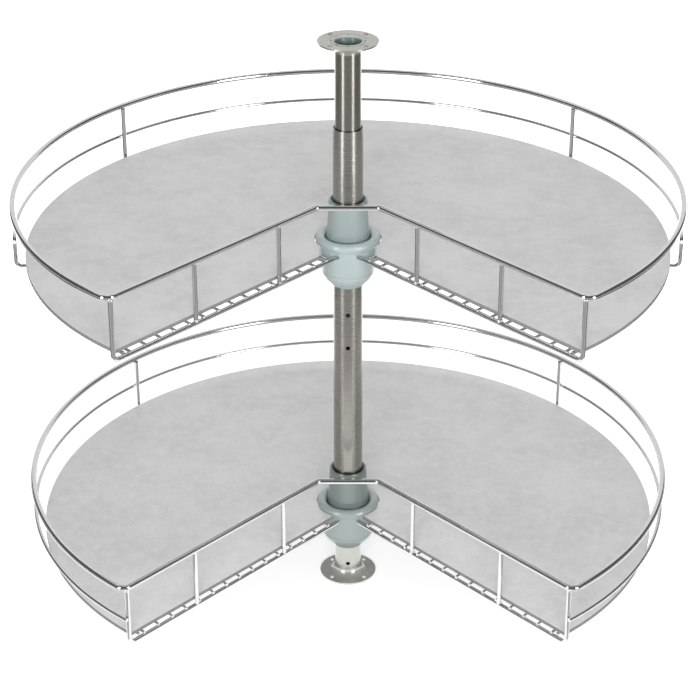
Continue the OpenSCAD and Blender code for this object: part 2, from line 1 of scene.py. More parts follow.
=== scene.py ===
# %% [markdown]
# # A corner cabinet carousel
# Two round trays with a V-shaped front opening turn on one telescopic post. The
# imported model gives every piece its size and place. This lesson dresses it: the
# wires are swept again in Geometry Nodes and get their welds, the boards are cut
# again, the hub rings and the mouth bush are turned with rounder forms, and every
# surface gets a finish made of nodes.

import math

import bmesh
import bpy
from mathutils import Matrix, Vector


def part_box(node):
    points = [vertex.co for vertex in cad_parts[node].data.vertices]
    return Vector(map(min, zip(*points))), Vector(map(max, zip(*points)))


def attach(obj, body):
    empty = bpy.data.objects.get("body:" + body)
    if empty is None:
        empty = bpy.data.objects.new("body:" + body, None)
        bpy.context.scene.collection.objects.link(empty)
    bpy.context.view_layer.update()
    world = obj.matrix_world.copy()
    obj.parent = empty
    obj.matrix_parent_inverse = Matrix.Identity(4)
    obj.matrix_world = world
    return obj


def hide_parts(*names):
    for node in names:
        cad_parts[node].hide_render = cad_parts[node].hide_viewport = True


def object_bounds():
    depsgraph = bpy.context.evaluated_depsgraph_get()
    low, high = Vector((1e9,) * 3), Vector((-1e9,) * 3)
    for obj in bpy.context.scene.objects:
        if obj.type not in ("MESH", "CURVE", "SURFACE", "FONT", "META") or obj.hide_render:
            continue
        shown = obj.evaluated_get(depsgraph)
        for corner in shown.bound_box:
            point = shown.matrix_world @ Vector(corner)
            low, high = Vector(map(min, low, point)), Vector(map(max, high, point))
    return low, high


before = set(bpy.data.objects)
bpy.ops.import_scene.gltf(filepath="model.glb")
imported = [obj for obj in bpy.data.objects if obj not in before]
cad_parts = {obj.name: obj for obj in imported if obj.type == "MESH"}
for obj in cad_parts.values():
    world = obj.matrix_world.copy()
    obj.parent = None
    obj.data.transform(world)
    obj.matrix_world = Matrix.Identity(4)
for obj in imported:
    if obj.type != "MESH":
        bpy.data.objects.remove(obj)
cad_low, cad_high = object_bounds()
scene = bpy.context.scene
print("CAD box in mm:", [round(v * 1000, 1) for v in (*cad_low, *cad_high)])


# %% [markdown]
# ## Sizes
# The wires are drawn again, so their paths need the same sizes as the model. They
# are written in millimetres, as on a drawing, and turned into metres at the end.
# The tray heights are given here. The imported model is read for the top of the mouth
# bush, and for each board's height above its frame wire, which is printed.

# %% Sizes in millimetres
MM = 0.001
RAIL_D, WIRE_D, MID_D, FLOOR_D = 6.5, 5.0, 4.0, 3.0
TRAY_R = 355.0
RAIL_R = TRAY_R - RAIL_D / 2
BOARD_R = 342.0
BOARD_T = 4.0
RIM_INSET = 12.0
RIM_R = BOARD_R - RIM_INSET
HUB_THREAD_R = 20.0
SLOPE = math.radians(47.5)
VERTEX_Y = 18.0
APEX_HALF = 33.0
RAIL_H, MID_H = 68.0, 32.0
WELD = 0.2
CORNER_INSET = 4.5
FIRST_UPRIGHT = {"upper": 110.0, "lower": 96.0}
SECOND_UPRIGHT = 229.0
TRAYS = {"upper": 414.0, "lower": 84.0}
for tray, z in TRAYS.items():
    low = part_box(tray + "_board")[0].z / MM
    print(tray, "tray: frame wire at", z, "mm, board from", round(low - z, 2), "mm above it")


# %% [markdown]
# The front edge of a tray slopes by 47.5 degrees. It is easier to think along that
# edge than in X and Y, so `at_edge(s, q)` turns a distance along the edge and a
# distance into the tray into a point. The left side is the mirror image.

# %% Points along the front edge
ALONG = Vector((math.cos(SLOPE), -math.sin(SLOPE), 0))
INWARD = Vector((math.sin(SLOPE), math.cos(SLOPE), 0))
VERTEX = Vector((0, -VERTEX_Y, 0))
AXIS_S = -VERTEX_Y * math.sin(SLOPE)
AXIS_Q = VERTEX_Y * math.cos(SLOPE)


def at_edge(s, q, z=0.0):
    return VERTEX + ALONG * s + INWARD * q + Vector((0, 0, z))


def edge_reach(q, r):
    return AXIS_S + math.sqrt(r * r - (q - AXIS_Q) ** 2)


def reach(s, r):
    return AXIS_Q + math.sqrt(r * r - (s - AXIS_S) ** 2)


def mirrored(points):
    return [Vector((-p.x, p.y, p.z)) for p in points]


def arc(centre, u, v, r, a1, a2, count):
    """Points on an arc from angle a1 to a2 in the plane of u and v, in degrees."""
    out = []
    for i in range(count + 1):
        a = math.radians(a1 + (a2 - a1) * i / count)
        out.append(centre + u * (r * math.cos(a)) + v * (r * math.sin(a)))
    return out


X, Y, Z = Vector((1, 0, 0)), Vector((0, 1, 0)), Vector((0, 0, 1))
CORNER_S = edge_reach(0, RAIL_R)
UPRIGHT_S = CORNER_S - CORNER_INSET
CORNER = at_edge(UPRIGHT_S, 0)
UPRIGHT_IN = (WIRE_D + MID_D) / 2 - WELD
print("corner upright at", [round(v, 1) for v in CORNER[:2]], "mm")


# %% [markdown]
# ## Finishes
# Every metal and plastic here is a Principled BSDF with its own numbers. What several
# of them share is a node group: it takes a scale and an amount and puts out a mask, a
# colour or a normal. Small helpers keep the node code short: `join` links two sockets,
# `chain` passes one thing through a row of nodes, and `maths` is one sum.

# %% Helpers for node trees
def new_material(name):
    m = bpy.data.materials.new(name)
    m.use_nodes = True
    nt = m.node_tree
    shader = nt.nodes["Principled BSDF"]
    return m, nt, shader


def add(nt, kind, **settings):
    n = nt.nodes.new(kind)
    for k, v in settings.items():
        setattr(n, k, v)
    return n


def join(nt, a, b):
    nt.links.new(a, b)


def chain(nt, *nodes):
    for a, b in zip(nodes, nodes[1:]):
        join(nt, a.outputs[0], b.inputs[0])


def maths(nt, operation, a, b):
    n = add(nt, "ShaderNodeMath", operation=operation)
    for socket, v in zip(n.inputs, (a, b)):
        if isinstance(v, float):
            socket.default_value = v
        else:
            join(nt, v, socket)
    return n.outputs[0]


def coords(nt, scale=(1, 1, 1)):
    """Object coordinates through a Mapping node, in metres times scale."""
    tex = add(nt, "ShaderNodeTexCoord")
    mapping = add(nt, "ShaderNodeMapping")
    mapping.inputs["Scale"].default_value = scale
    join(nt, tex.outputs["Object"], mapping.inputs["Vector"])
    return mapping.outputs["Vector"]


def noise_at(nt, vector, scale, detail=2.0, rough=0.5):
    n = add(nt, "ShaderNodeTexNoise")
    n.inputs["Scale"].default_value = scale
    n.inputs["Detail"].default_value = detail
    n.inputs["Roughness"].default_value = rough
    join(nt, vector, n.inputs["Vector"])
    return n.outputs["Fac"]


def to_range(nt, value, low, high, from_low=0.0, from_high=1.0):
    n = add(nt, "ShaderNodeMapRange")
    n.inputs["From Min"].default_value = from_low
    n.inputs["From Max"].default_value = from_high
    n.inputs["To Min"].default_value = low
    n.inputs["To Max"].default_value = high
    join(nt, value, n.inputs["Value"])
    return n.outputs["Result"]


def mix_colour(nt, fac, a, b):
    n = add(nt, "ShaderNodeMix", data_type="RGBA")
    for key, v in ((6, a), (7, b)):
        if isinstance(v, tuple):
            n.inputs[key].default_value = (*v, 1)
        else:
            join(nt, v, n.inputs[key])
    join(nt, fac, n.inputs[0])
    return n.outputs[2]


def bump(nt, height, strength, distance):
    n = add(nt, "ShaderNodeBump")
    n.inputs["Strength"].default_value = strength
    n.inputs["Distance"].default_value = distance
    join(nt, height, n.inputs["Height"])
    return n.outputs["Normal"]


# %% [markdown]
# Hands and dust leave the same marks on every finish: slow cloudy changes in the
# gloss, with finer smears inside them. One group makes that mask. It reads Object
# coordinates, so it stays with the piece when the tray turns.

# %% A group for handling marks
NUMBER, WHOLE, VECTOR = "NodeSocketFloat", "NodeSocketInt", "NodeSocketVector"
GEOMETRY, MATERIAL = "NodeSocketGeometry", "NodeSocketMaterial"


def make_group(name, ins, outs, kind="ShaderNodeTree"):
    """A tree whose inputs are (label, type, default) and outputs (label, type)."""
    g = bpy.data.node_groups.new(name, kind)
    for label, socket, default in ins:
        s = g.interface.new_socket(label, in_out="INPUT", socket_type=socket)
        if default is not None:
            s.default_value = default
    for label, socket in outs:
        g.interface.new_socket(label, in_out="OUTPUT", socket_type=socket)
    return g, g.nodes.new("NodeGroupInput"), g.nodes.new("NodeGroupOutput")


MARKS, gin, gout = make_group(
    "handling marks",
    [("Cloud Scale", NUMBER, 14.0), ("Smear Scale", NUMBER, 90.0), ("Smears", NUMBER, 0.4)],
    [("Mask", NUMBER)],
)
tex = add(MARKS, "ShaderNodeTexCoord")
cloud = add(MARKS, "ShaderNodeTexNoise")
smear = add(MARKS, "ShaderNodeTexNoise")
cloud.inputs["Detail"].default_value = 3.0
smear.inputs["Detail"].default_value = 4.0
smear.inputs["Distortion"].default_value = 0.8
join(MARKS, tex.outputs["Object"], cloud.inputs["Vector"])
join(MARKS, tex.outputs["Object"], smear.inputs["Vector"])
join(MARKS, gin.outputs["Cloud Scale"], cloud.inputs["Scale"])
join(MARKS, gin.outputs["Smear Scale"], smear.inputs["Scale"])
blend_marks = add(MARKS, "ShaderNodeMix", data_type="FLOAT")
join(MARKS, gin.outputs["Smears"], blend_marks.inputs[0])
join(MARKS, cloud.outputs["Fac"], blend_marks.inputs[2])
join(MARKS, smear.outputs["Fac"], blend_marks.inputs[3])
join(MARKS, blend_marks.outputs[0], gout.inputs["Mask"])
print("group made:", MARKS.name)


def marks(nt, cloud_scale, smear_scale, smears):
    g = add(nt, "ShaderNodeGroup", node_tree=MARKS)
    g.inputs["Cloud Scale"].default_value = cloud_scale
    g.inputs["Smear Scale"].default_value = smear_scale
    g.inputs["Smears"].default_value = smears
    return g.outputs["Mask"]


# %% [markdown]
# Tube and wire are drawn and ground, which leaves fine lines in one direction. The
# group stretches noise along an axis: a large scale across the lines, a small one
# along them. It puts out the lines and a slow streak mask for the colour.

# %% A group for drawn and ground lines
LINES, gin, gout = make_group(
    "ground lines",
    [("Stretch", VECTOR, (40.0, 40.0, 1500.0))],
    [("Lines", NUMBER), ("Streaks", NUMBER)],
)
tex = add(LINES, "ShaderNodeTexCoord")
stretched = add(LINES, "ShaderNodeVectorMath", operation="MULTIPLY")
join(LINES, tex.outputs["Object"], stretched.inputs[0])
join(LINES, gin.outputs["Stretch"], stretched.inputs[1])
fine = noise_at(LINES, stretched.outputs[0], 1.0, 3.0, 0.7)
slow = noise_at(LINES, stretched.outputs[0], 0.09, 2.0, 0.5)
join(LINES, fine, gout.inputs["Lines"])
join(LINES, slow, gout.inputs["Streaks"])
print("group made:", LINES.name)


def ground_lines(nt, stretch):
    g = add(nt, "ShaderNodeGroup", node_tree=LINES)
    g.inputs["Stretch"].default_value = stretch
    return g.outputs["Lines"], g.outputs["Streaks"]


# %% [markdown]
# ### Chrome wire
# Bright chrome on drawn wire is almost a mirror. It isn't perfect: the plating is
# slightly cloudy, and the wire below it is faintly wavy. Both are small, because a
# strong bump makes chrome look like foil.

# %% Chrome for wires and rails
def make_chrome():
    m, nt, s = new_material("chrome wire")
    mask = marks(nt, cloud_scale=22.0, smear_scale=240.0, smears=0.35)
    tint = mix_colour(nt, mask, (0.55, 0.56, 0.56), (0.64, 0.645, 0.64))
    join(nt, tint, s.inputs["Base Color"])
    s.inputs["Metallic"].default_value = 1.0
    join(nt, to_range(nt, mask, low=0.05, high=0.16), s.inputs["Roughness"])
    waves = noise_at(nt, coords(nt), scale=160.0)
    join(nt, bump(nt, waves, strength=0.12, distance=0.0004), s.inputs["Normal"])
    return m


CHROME = make_chrome()


# %% [markdown]
# A weld is hotter and rougher than the wire beside it, and the plating is a little
# duller there. It gets the same chrome with more roughness and a lumpy surface.

# %% Dull chrome for the welds
def make_weld_chrome():
    m, nt, s = new_material("plated weld")
    lumps = noise_at(nt, coords(nt), scale=700.0, detail=3.0)
    tint = mix_colour(nt, lumps, (0.52, 0.53, 0.53), (0.74, 0.75, 0.75))
    join(nt, tint, s.inputs["Base Color"])
    s.inputs["Metallic"].default_value = 1.0
    join(nt, to_range(nt, lumps, low=0.25, high=0.42), s.inputs["Roughness"])
    join(nt, bump(nt, lumps, strength=0.5, distance=0.0004), s.inputs["Normal"])
    return m


WELD_CHROME = make_weld_chrome()


# %% [markdown]
# ### Satin steel post
# The tubes are ground while they turn, so the lines run round the tube. Light spreads
# along the tube and stays narrow across it, which draws the two upright bright bands.
# The Anisotropic setting does this, with a radial tangent about the post's axis. The
# steel is warm grey with slightly deeper streaks.

# %% Ground steel for the tubes
def make_ground_steel(name, dark, light, rough):
    m, nt, s = new_material(name)
    lines, streaks = ground_lines(nt, (26.0, 26.0, 2600.0))
    warm = noise_at(nt, coords(nt, (1, 1, 0.25)), scale=38.0)
    tint = mix_colour(nt, to_range(nt, warm, 0.0, 1.0, from_low=0.35, from_high=0.65), dark, light)
    deep = tuple(0.82 * v for v in dark)
    streaked = to_range(nt, streaks, 0.0, 0.20, from_low=0.3, from_high=0.75)
    join(nt, mix_colour(nt, streaked, tint, deep), s.inputs["Base Color"])
    s.inputs["Metallic"].default_value = 1.0
    s.inputs["Anisotropic"].default_value = 0.75
    s.inputs["Anisotropic Rotation"].default_value = 0.25
    join(nt, to_range(nt, lines, low=rough - 0.04, high=rough + 0.05), s.inputs["Roughness"])
    tangent = add(nt, "ShaderNodeTangent", direction_type="RADIAL", axis="Z")
    join(nt, tangent.outputs["Tangent"], s.inputs["Tangent"])
    join(nt, bump(nt, lines, strength=0.06, distance=0.0002), s.inputs["Normal"])
    return m


POST_STEEL = make_ground_steel(
    "ground steel", dark=(0.30, 0.29, 0.26), light=(0.37, 0.365, 0.335), rough=0.26
)
TOP_STEEL = make_ground_steel(
    "ground steel of the narrow tube",
    dark=(0.22, 0.213, 0.178),
    light=(0.29, 0.285, 0.26),
    rough=0.24,
)


# %% [markdown]
# The flanges are pressed from sheet, tumbled and given a thin clear lacquer, so they
# have no direction: a fine grain and a few soft scuffs. Lacquered satin steel scatters
# part of the light like paint does, so its Metallic value is below one. The foot tube
# is the same steel as the foot flange it stands in, painted a little darker as painted shade.

# %% Pressed steel for the flanges and the foot tube
def make_pressed_steel(name, dark, light, metal):
    m, nt, s = new_material(name)
    grain = noise_at(nt, coords(nt), scale=1400.0)
    mask = marks(nt, cloud_scale=30.0, smear_scale=110.0, smears=0.3)
    spread = to_range(nt, mask, 0.0, 1.0, from_low=0.3, from_high=0.7)
    join(nt, mix_colour(nt, spread, dark, light), s.inputs["Base Color"])
    s.inputs["Metallic"].default_value = metal
    join(nt, to_range(nt, mask, low=0.18, high=0.30), s.inputs["Roughness"])
    join(nt, bump(nt, grain, strength=0.25, distance=0.0002), s.inputs["Normal"])
    return m


PRESSED_STEEL = make_pressed_steel(
    "pressed steel", dark=(0.37, 0.37, 0.33), light=(0.46, 0.46, 0.42), metal=0.8
)
# The foot tube is the foot flange's steel, painted darker: painted shade.
FOOT_TUBE_SHADED_STEEL = make_pressed_steel(
    "steel of the foot tube, with painted shade", dark=(0.43, 0.44, 0.40), light=(0.52, 0.53, 0.49), metal=0.8
)
FOOT_STEEL = make_pressed_steel(
    "pressed steel of the foot", dark=(0.50, 0.51, 0.47), light=(0.60, 0.61, 0.57), metal=0.7
)


# %% [markdown]
# ### Moulded plastic
# The hub parts are moulded in a cool grey-green, the sleeves a shade darker than the
# rings. Moulded plastic has a fine spark texture and a slow change in gloss where the
# melt cooled, and it rubs a little lighter on what hands touch. The base colour varies
# only a little. A thin glossy coat gives the small highlights.

# %% Moulded plastic for the hubs and bushes
def make_plastic(name, dark, light, rough, coat=0.15):
    m, nt, s = new_material(name)
    mask = marks(nt, cloud_scale=30.0, smear_scale=210.0, smears=0.35)
    join(nt, mix_colour(nt, mask, dark, light), s.inputs["Base Color"])
    join(nt, to_range(nt, mask, low=rough - 0.05, high=rough + 0.10), s.inputs["Roughness"])
    s.inputs["Coat Weight"].default_value = coat
    s.inputs["Coat Roughness"].default_value = 0.08
    grain = noise_at(nt, coords(nt), scale=900.0)
    join(nt, bump(nt, grain, strength=0.15, distance=0.0002), s.inputs["Normal"])
    return m


HUB_UPPER = make_plastic(
    "hub plastic, upper", (0.335, 0.405, 0.405), (0.395, 0.46, 0.46), rough=0.33, coat=0.35
)
SLEEVE_UPPER = make_plastic(
    "sleeve plastic, upper", (0.25, 0.305, 0.305), (0.30, 0.35, 0.35), rough=0.33, coat=0.35
)
# The lower hub and sleeve are painted darker than the upper ones: painted shade from the tray
# above them.
HUB_LOWER_SHADED = make_plastic(
    "hub plastic, lower, with painted shade", (0.25, 0.30, 0.295), (0.31, 0.36, 0.355), rough=0.30, coat=0.5
)
SLEEVE_LOWER_SHADED = make_plastic(
    "sleeve plastic, lower, with painted shade", (0.15, 0.185, 0.178), (0.19, 0.225, 0.218), rough=0.30, coat=0.4
)
HUB = {"upper": HUB_UPPER, "lower": HUB_LOWER_SHADED}
SLEEVE = {"upper": SLEEVE_UPPER, "lower": SLEEVE_LOWER_SHADED}
BUSH = make_plastic("bush plastic", (0.38, 0.42, 0.40), (0.48, 0.52, 0.495), rough=0.38)
DARK = make_plastic("dark plastic", (0.06, 0.062, 0.065), (0.085, 0.088, 0.09), rough=0.45)


# %% [markdown]
# The bush in the mouth of the top flange is the same plastic, but its bowl is painted
# darker as painted shade in the hollow. A mask from the distance to the post's axis,
# in metres, darkens it.

# %% Painted shade in the bowl of the bush
BOWL_R, BOWL_BLUR = 0.0142, 0.0003


def paint_bowl_shade(m, colour):
    nt = m.node_tree
    s = nt.nodes["Principled BSDF"]
    unshaded = s.inputs["Base Color"].links[0].from_socket
    across = add(nt, "ShaderNodeVectorMath", operation="LENGTH")
    join(nt, coords(nt, (1, 1, 0)), across.inputs[0])
    inside = to_range(
        nt, across.outputs["Value"], 1.0, 0.0, BOWL_R - BOWL_BLUR, BOWL_R + BOWL_BLUR
    )
    join(nt, mix_colour(nt, inside, unshaded, colour), s.inputs["Base Color"])


# The bowl is painted darker than the crown: painted shade in the hollow.
paint_bowl_shade(BUSH, (0.15, 0.195, 0.185))


# %% [markdown]
# ### Faced board
# The tray board has a light grey stone-look facing: pale clouds a hand wide, blotches
# a few centimetres wide, and fine dark pores. Its cut edge shows the core, darker
# and rougher, in thin layers, and is painted darker still as painted shade.

# %% Stone-look facing and cut edge
def make_board():
    m, nt, s = new_material("stone-look board")
    at = coords(nt)
    clouds = noise_at(nt, at, scale=14.0, detail=6.0, rough=0.68)
    blots = noise_at(nt, at, scale=75.0, detail=6.0, rough=0.72)
    pores = noise_at(nt, at, scale=380.0, detail=3.0, rough=0.7)
    cloudy = to_range(nt, clouds, 0.0, 1.0, from_low=0.38, from_high=0.62)
    blotted = to_range(nt, blots, 0.0, 0.6, from_low=0.45, from_high=0.62)
    pored = to_range(nt, pores, 0.0, 0.8, from_low=0.60, from_high=0.74)
    base = mix_colour(nt, cloudy, (0.59, 0.59, 0.595), (0.66, 0.66, 0.655))
    base = mix_colour(nt, blotted, base, (0.70, 0.70, 0.69))
    base = mix_colour(nt, pored, base, (0.44, 0.44, 0.44))
    join(nt, base, s.inputs["Base Color"])
    join(nt, to_range(nt, blots, low=0.62, high=0.76), s.inputs["Roughness"])
    s.inputs["Specular IOR Level"].default_value = 0.35
    join(nt, bump(nt, pores, strength=0.18, distance=0.0003), s.inputs["Normal"])
    return m


# The cut edge has the core's own darker colour, painted darker still as painted shade.
def make_shaded_board_edge():
    m, nt, s = new_material("board edge, with painted shade")
    layers = noise_at(nt, coords(nt, (1, 1, 30)), scale=40.0, detail=3.0)
    fibres = noise_at(nt, coords(nt), scale=600.0, detail=3.0)
    base = mix_colour(nt, layers, (0.19, 0.19, 0.188), (0.26, 0.26, 0.255))
    frayed = to_range(nt, fibres, 0.0, 0.4, from_low=0.4, from_high=0.8)
    base = mix_colour(nt, frayed, base, (0.32, 0.315, 0.305))
    join(nt, base, s.inputs["Base Color"])
    s.inputs["Roughness"].default_value = 0.75
    s.inputs["Specular IOR Level"].default_value = 0.3
    join(nt, bump(nt, fibres, strength=0.3, distance=0.0003), s.inputs["Normal"])
    return m


BOARD = make_board()
SHADED_BOARD_EDGE = make_shaded_board_edge()


# %% [markdown]
# ### Zinc plate
# Inside the hub are turned and stamped steel parts. A thin zinc plate covers them:
# bright, slightly blue, and cloudy where it has dulled.

# %% Zinc-plated steel for races, balls, plate and screws
def make_zinc():
    m, nt, s = new_material("zinc-plated steel")
    mask = marks(nt, cloud_scale=120.0, smear_scale=600.0, smears=0.5)
    tint = mix_colour(nt, mask, (0.50, 0.52, 0.55), (0.66, 0.67, 0.66))
    join(nt, tint, s.inputs["Base Color"])
    s.inputs["Metallic"].default_value = 1.0
    join(nt, to_range(nt, mask, low=0.16, high=0.34), s.inputs["Roughness"])
    return m


ZINC = make_zinc()
print("finishes made:", ", ".join(sorted(m.name for m in bpy.data.materials if m.users == 0)))


# %% [markdown]
# ## Wires swept along their paths
# A wire is a circle swept along a line. Geometry Nodes does this for every rail,
# upright and floor wire with one tree: the paths come in as edges, `Curve to Mesh`
# sweeps a circle of the given radius along them, and the ends are filled. The paths
# are worked out in Python, because a path is arithmetic and a sweep is geometry.

# %% The sweeping tree
def geometry_tree(name, inputs):
    """A tree that takes in one geometry with some settings and puts out another."""
    ins = [("Geometry", GEOMETRY, None), *inputs]
    return make_group(name, ins, [("Geometry", GEOMETRY)], "GeometryNodeTree")


SWEEP, gin, gout = geometry_tree(
    "sweep a wire",
    [
        ("Radius", NUMBER, 0.0025),
        ("Sides", WHOLE, 24),
        ("Finish", MATERIAL, None),
    ],
)
curve = add(SWEEP, "GeometryNodeMeshToCurve")
ring = add(SWEEP, "GeometryNodeCurvePrimitiveCircle")
sweep = add(SWEEP, "GeometryNodeCurveToMesh")
smooth = add(SWEEP, "GeometryNodeSetShadeSmooth")
real = add(SWEEP, "GeometryNodeRealizeInstances")
finish = add(SWEEP, "GeometryNodeSetMaterial")
sweep.inputs["Fill Caps"].default_value = True
chain(SWEEP, gin, curve, sweep, smooth, real, finish, gout)
join(SWEEP, gin.outputs["Radius"], ring.inputs["Radius"])
join(SWEEP, gin.outputs["Sides"], ring.inputs["Resolution"])
join(SWEEP, ring.outputs["Curve"], sweep.inputs["Profile Curve"])
join(SWEEP, gin.outputs["Finish"], finish.inputs["Material"])
print("tree made:", SWEEP.name)


# %% [markdown]
# A modifier's inputs are set by each socket's identifier, not by its name. `grown`
# puts the tree on an object, sets the inputs, takes the finished mesh and drops the
# modifier, so that only a plain mesh is left.

# %% Run a tree and keep its mesh
def grown(name, base_mesh, tree, settings):
    source = bpy.data.objects.new(name, base_mesh)
    scene.collection.objects.link(source)
    mod = source.modifiers.new("tree", "NODES")
    mod.node_group = tree
    for item in tree.interface.items_tree:
        if item.item_type == "SOCKET" and item.in_out == "INPUT" and item.name in settings:
            mod[item.identifier] = settings[item.name]
    bpy.context.view_layer.update()
    seen = source.evaluated_get(bpy.context.evaluated_depsgraph_get())
    mesh = bpy.data.meshes.new_from_object(seen)
    mesh.name = name
    kept = [m for m in mesh.materials if m]
    places = [kept.index(m) if m else 0 for m in mesh.materials]
    mesh.validate()
    indices = [places[f.material_index] for f in mesh.polygons]
    mesh.materials.clear()
    for m in kept:
        mesh.materials.append(m)
    mesh.polygons.foreach_set("material_index", indices)
    source.modifiers.clear()
    source.data = mesh
    bpy.data.meshes.remove(base_mesh)
    return source


def path_mesh(paths, closed=False):
    """Edges along each list of points, given in millimetres."""
    verts, edges = [], []
    for path in paths:
        first = len(verts)
        verts += [p * MM for p in path]
        edges += [(first + i, first + i + 1) for i in range(len(path) - 1)]
        if closed:
            edges.append((len(verts) - 1, first))
    m = bpy.data.meshes.new("paths")
    m.from_pydata(verts, edges, [])
    return m


def wires(name, paths, d, body, node, closed=False, sides=28):
    """Sweeps one wire of diameter d along each path. Paths are at their final height."""
    settings = {"Radius": d / 2 * MM, "Sides": sides, "Finish": CHROME}
    o = grown(name, path_mesh(paths, closed), SWEEP, settings)
    tidy_normals(o)
    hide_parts(node)
    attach(o, body)
    return o


CRISP = math.radians(50)


def tidy_normals(o):
    """Faces point outwards, and flat ends stay crisp beside the smooth side."""
    bm = bmesh.new()
    bm.from_mesh(o.data)
    bmesh.ops.recalc_face_normals(bm, faces=bm.faces)
    for e in bm.edges:
        if len(e.link_faces) == 2 and e.calc_face_angle() > CRISP:
            e.smooth = False
    bm.to_mesh(o.data)
    bm.free()


# %% [markdown]
# ### Top rail
# One closed loop of 6.5 mm wire: three quarters of a circle, a tight bend at each
# corner, two straight front edges and a short straight stretch before the post. The
# bends are sampled finely, the straights need only their ends.

# %% Path of the top rail
BEND = 9.0


def top_rail_path(z):
    bend_s = edge_reach(BEND, RAIL_R - BEND)
    c = at_edge(bend_s, BEND)
    a = math.degrees(math.atan2(c.y, c.x))
    right = arc(c, X, Y, BEND, -90 - math.degrees(SLOPE), a, count=14)
    back = arc(Vector((0, 0, 0)), X, Y, RAIL_R, a, 180 - a, count=220)[1:-1]
    apex_t = BEND * math.tan(SLOPE / 2)
    apex_y = -(VERTEX_Y + APEX_HALF * math.tan(SLOPE))
    apex_c = Vector((APEX_HALF - apex_t, apex_y - BEND, 0))
    front = arc(apex_c, X, Y, BEND, 90, 90 - math.degrees(SLOPE), count=10)
    loop = front + right + back + mirrored(right[::-1]) + mirrored(front[::-1])
    return [p + Z * z for p in loop]


for tray, z in TRAYS.items():
    path = top_rail_path(z + RAIL_H)
    o = wires(
        tray + "-top-rail", [path], RAIL_D, tray + "_tray", tray + "_top_rail", closed=True
    )
    print(o.name, len(o.data.polygons), "faces")


# %% [markdown]
# ### Middle rails
# The upper tray's middle rail stops at the sides, turns down and tucks in under the
# board. The lower one goes right round to the corner uprights, outside them.

# %% Paths of the middle rails
UPPER_MID_R = RAIL_R
LOWER_MID_R = CORNER.length + UPRIGHT_IN
MID_R = {"upper": UPPER_MID_R, "lower": LOWER_MID_R}
RIM_Z = (WIRE_D - MID_D) / 2
SIDE = math.radians(-7.5)
MID_BEND = 6.0


def dropped_rail(z):
    out = Vector((math.cos(SIDE), math.sin(SIDE), 0))
    round_ = Vector((-math.sin(SIDE), math.cos(SIDE), 0))
    start = out * UPPER_MID_R
    down = start - round_ * MID_BEND
    tuck = UPPER_MID_R - RIM_R - MID_D / 2 + WELD
    path = [down - out * tuck + Z * RIM_Z]
    path += arc(down - out * MID_BEND + Z * (RIM_Z + MID_BEND), out, Z, MID_BEND, -90, 0, count=8)
    path += arc(start + Z * (MID_H - MID_BEND), -round_, Z, MID_BEND, 0, 90, count=8)
    a = math.degrees(SIDE)
    back = arc(Z * MID_H, X, Y, UPPER_MID_R, a, 180 - a, count=200)[1:-1]
    whole = path + back + mirrored(path[::-1])
    return [p + Z * z for p in whole]


def full_rail(z):
    a = math.degrees(math.atan2(CORNER.y, CORNER.x) - WIRE_D / 2 / LOWER_MID_R)
    return arc(Z * (z + MID_H), X, Y, LOWER_MID_R, a, 180 - a, count=220)


for tray, path in (
    ("upper", dropped_rail(TRAYS["upper"])),
    ("lower", full_rail(TRAYS["lower"])),
):
    wires(tray + "-middle-rail", [path], MID_D, tray + "_tray", tray + "_middle_rail")
print("middle rails at", round(UPPER_MID_R, 1), "and", round(LOWER_MID_R, 1), "mm from the axis")


# %% [markdown]
# ### Frame wires and uprights
# Each front edge is one wire that bends up at the corner into the first upright. Two
# more uprights stand on it. Round the back, three uprights bend in under the board.

# %% Paths of the frame wires and uprights
WIRE_BEND = 7.0
TOP_END = RAIL_H - math.sqrt((RAIL_D / 2) ** 2 - (WIRE_D / 2) ** 2)
WIRE_END_S = edge_reach(0, HUB_THREAD_R + WIRE_D + 1)
BACK_ANGLES = (41.7, 90.0, 180 - 41.7)
BACK_WAYS = [Vector((math.cos(a), math.sin(a), 0)) for a in map(math.radians, BACK_ANGLES)]


def frame_path(z):
    s = UPRIGHT_S - WIRE_BEND
    path = [at_edge(WIRE_END_S, 0, z)]
    path += arc(at_edge(s, 0, z + WIRE_BEND), ALONG, Z, WIRE_BEND, -90, 0, count=10)
    return path + [at_edge(UPRIGHT_S, 0, z + TOP_END)]


def front_upright_paths(z, first):
    right = []
    for d in (first, SECOND_UPRIGHT):
        s = UPRIGHT_S - d
        right.append([at_edge(s, 0, z + WIRE_D / 4), at_edge(s, 0, z + TOP_END)])
    return right + [mirrored(p) for p in right]


def back_upright_paths(z, mid_r):
    r = mid_r - UPRIGHT_IN
    foot = r - RIM_R - MID_D / 2 + WELD
    out = []
    for u in BACK_WAYS:
        path = [u * (r - foot)]
        path += arc(u * (r - WIRE_BEND) + Z * WIRE_BEND, u, Z, WIRE_BEND, -90, 0, count=10)
        path += [u * r + Z * (RAIL_H - RAIL_D / 4)]
        out.append([p + Z * z for p in path])
    return out


for tray, z in TRAYS.items():
    body = tray + "_tray"
    right = frame_path(z)
    for part, paths in (
        ("frame-right", [right]),
        ("frame-left", [mirrored(right)]),
        ("front-uprights", front_upright_paths(z, FIRST_UPRIGHT[tray])),
        ("back-uprights", back_upright_paths(z, MID_R[tray])),
    ):
        wires(tray + "-" + part, paths, WIRE_D, body, tray + "_" + part.replace("-", "_"))
    print(tray, "frame and uprights swept")


# %% [markdown]
# ### Floor wires
# Under the board, thin wires run square to each front edge, one every 20 mm. The first
# fifteen start on the frame wire, where their ends show. The rest start at the spine
# or at the arc behind the hub. All end on the rim wire.

